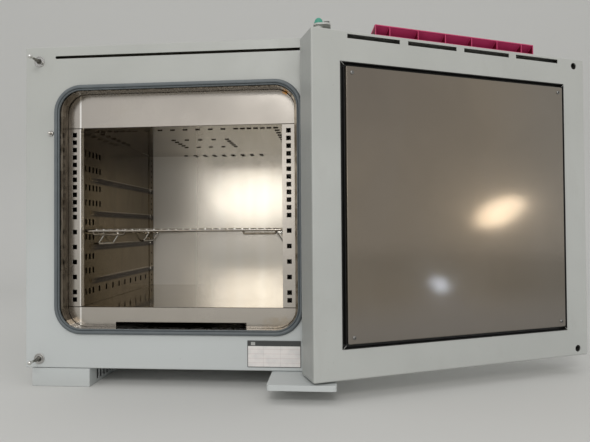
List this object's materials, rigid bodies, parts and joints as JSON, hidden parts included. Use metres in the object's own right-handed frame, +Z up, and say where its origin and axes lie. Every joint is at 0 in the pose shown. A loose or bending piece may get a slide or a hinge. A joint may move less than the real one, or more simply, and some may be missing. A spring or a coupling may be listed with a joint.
{
  "type": "laboratory oven",
  "caption": "Bench-top laboratory heating oven with a steel-lined chamber, wire shelf, round-cornered door seal and a door swung wide open.",
  "frame": {"origin": "centre of the underside of the whole oven with its door open, on the bench", "axes": "+X to the oven's right seen from the front, where the door hangs; +Y from the front to the rear; +Z up"},
  "size_m": [1.1328, 0.6518, 0.6851],
  "materials": {
    "light_grey_paint": "fine textured light grey powder coat",
    "stainless_steel": "bright stainless sheet",
    "heat_tinted_steel": "stainless sheet in the dark of the chamber",
    "polished_steel": "polished steel",
    "blue_grey_silicone": "matt silicone",
    "black_plastic": "black plastic",
    "magenta_plastic": "satin magenta plastic",
    "teal_plastic": "teal plastic",
    "dark_grey_plastic": "dark grey plastic",
    "display_glass": "dark clear window",
    "white_film": "blank white film",
    "mineral_wool": "pressed mineral wool",
    "circuit_board": "green board"
  },
  "bodies": {
    "cabinet": {"outer_casing": "light_grey_paint", "front_frame": "light_grey_paint", "base_pan": "light_grey_paint", "rear_cover": "light_grey_paint", "left_foot": "light_grey_paint", "right_foot": "light_grey_paint", "lower_hinge_plate": "light_grey_paint", "upper_hinge_plate": "light_grey_paint", "hinge_cap": "teal_plastic", "cable_guide": "black_plastic", "cable_cover": "light_grey_paint", "lock_stud_upper": "polished_steel", "lock_stud_lower": "polished_steel", "stud_seat_upper": "stainless_steel", "stud_seat_lower": "stainless_steel", "door_gasket": "blue_grey_silicone", "chamber_liner": "stainless_steel", "left_side_wall": "heat_tinted_steel", "right_side_wall": "heat_tinted_steel", "ceiling_panel": "stainless_steel", "floor_panel": "stainless_steel", "left_front_upright": "stainless_steel", "right_front_upright": "stainless_steel", "left_rear_strip": "stainless_steel", "right_rear_strip": "stainless_steel", "top_fascia": "stainless_steel", "bottom_fascia": "stainless_steel", "insulation_jacket": "mineral_wool", "upper_heater": "heat_tinted_steel", "lower_heater": "heat_tinted_steel", "fan_motor": "black_plastic", "temperature_probe": "polished_steel", "exhaust_duct": "stainless_steel", "front_left_shelf_clip": "polished_steel", "front_right_shelf_clip": "polished_steel", "rear_left_shelf_clip": "polished_steel", "rear_right_shelf_clip": "polished_steel", "mains_inlet": "black_plastic", "name_plate": "white_film", "door_switch": "stainless_steel"},
    "door": {"door_inner_shell": "light_grey_paint", "door_outer_panel": "light_grey_paint", "door_insulation": "mineral_wool", "door_inner_panel": "stainless_steel", "door_channel": "black_plastic", "vent_hood": "magenta_plastic", "control_console": "dark_grey_plastic", "display_window": "display_glass", "control_board": "circuit_board"},
    "shelf": {"wire_shelf": "polished_steel"},
    "fan": {"fan_wheel": "stainless_steel"},
    "flap": {"exhaust_flap": "stainless_steel"},
    "plunger": {"switch_plunger": "polished_steel"},
    "handle": {"door_handle": "dark_grey_plastic"},
    "lock_bar": {"lock_bar": "stainless_steel"},
    "key_1": {"set_key_1": "black_plastic"},
    "key_2": {"set_key_2": "black_plastic"},
    "key_3": {"set_key_3": "black_plastic"},
    "dial": {"limit_dial": "black_plastic"},
    "rocker": {"mains_switch": "black_plastic"}
  },
  "joints": [
    {"name": "door_hinge", "type": "hinge", "parent": "cabinet", "child": "door", "pos_m": [0.01663, -0.2851, 0.0393], "axis": [0, 0, 1], "range_deg": [-202.4, 0]},
    {"name": "shelf_slide", "type": "slide", "parent": "cabinet", "child": "shelf", "axis": [0, -1, 0], "range_m": [0, 0.3]},
    {"name": "handle_turn", "type": "hinge", "parent": "door", "child": "handle", "pos_m": [0.5056, -0.05436, 0.34705], "axis": [-0.3811, 0.9245, 0], "range_deg": [0, 40]},
    {"name": "lock_bar_slide", "type": "slide", "parent": "door", "child": "lock_bar", "axis": [0, 0, -1], "range_m": [0, 0.0096]},
    {"name": "limit_dial_turn", "type": "hinge", "parent": "door", "child": "dial", "pos_m": [0.3142, -0.10696, 0.5788], "axis": [-0.3811, 0.9245, 0], "range_deg": [0, 270]},
    {"name": "mains_switch_rock", "type": "hinge", "parent": "door", "child": "rocker", "pos_m": [0.38159, -0.08676, 0.5788], "axis": [-0.9245, -0.3811, 0], "range_deg": [0, 16]},
    {"name": "plunger_press", "type": "slide", "parent": "cabinet", "child": "plunger", "axis": [0, 1, 0], "range_m": [0, 0.005], "stiffness_N_per_m": 250},
    {"name": "fan_spin", "type": "hinge", "parent": "cabinet", "child": "fan", "pos_m": [-0.26137, -0.02005, 0.517], "axis": [0, 0, 1], "continuous": true},
    {"name": "flap_turn", "type": "hinge", "parent": "cabinet", "child": "flap", "pos_m": [-0.13137, 0.2859, 0.5424], "axis": [0, 0, 1], "range_deg": [0, 90]},
    {"name": "key_1_press", "type": "slide", "parent": "door", "child": "key_1", "axis": [0.3811, -0.9245, 0], "range_m": [0, 0.002], "stiffness_N_per_m": 300},
    {"name": "key_2_press", "type": "slide", "parent": "door", "child": "key_2", "axis": [0.3811, -0.9245, 0], "range_m": [0, 0.002], "stiffness_N_per_m": 300},
    {"name": "key_3_press", "type": "slide", "parent": "door", "child": "key_3", "axis": [0.3811, -0.9245, 0], "range_m": [0, 0.002], "stiffness_N_per_m": 300}
  ],
  "couplings": [
    {"joint": "lock_bar_slide", "follows": "handle_turn", "m_per_rad": 0.01335}
  ]
}
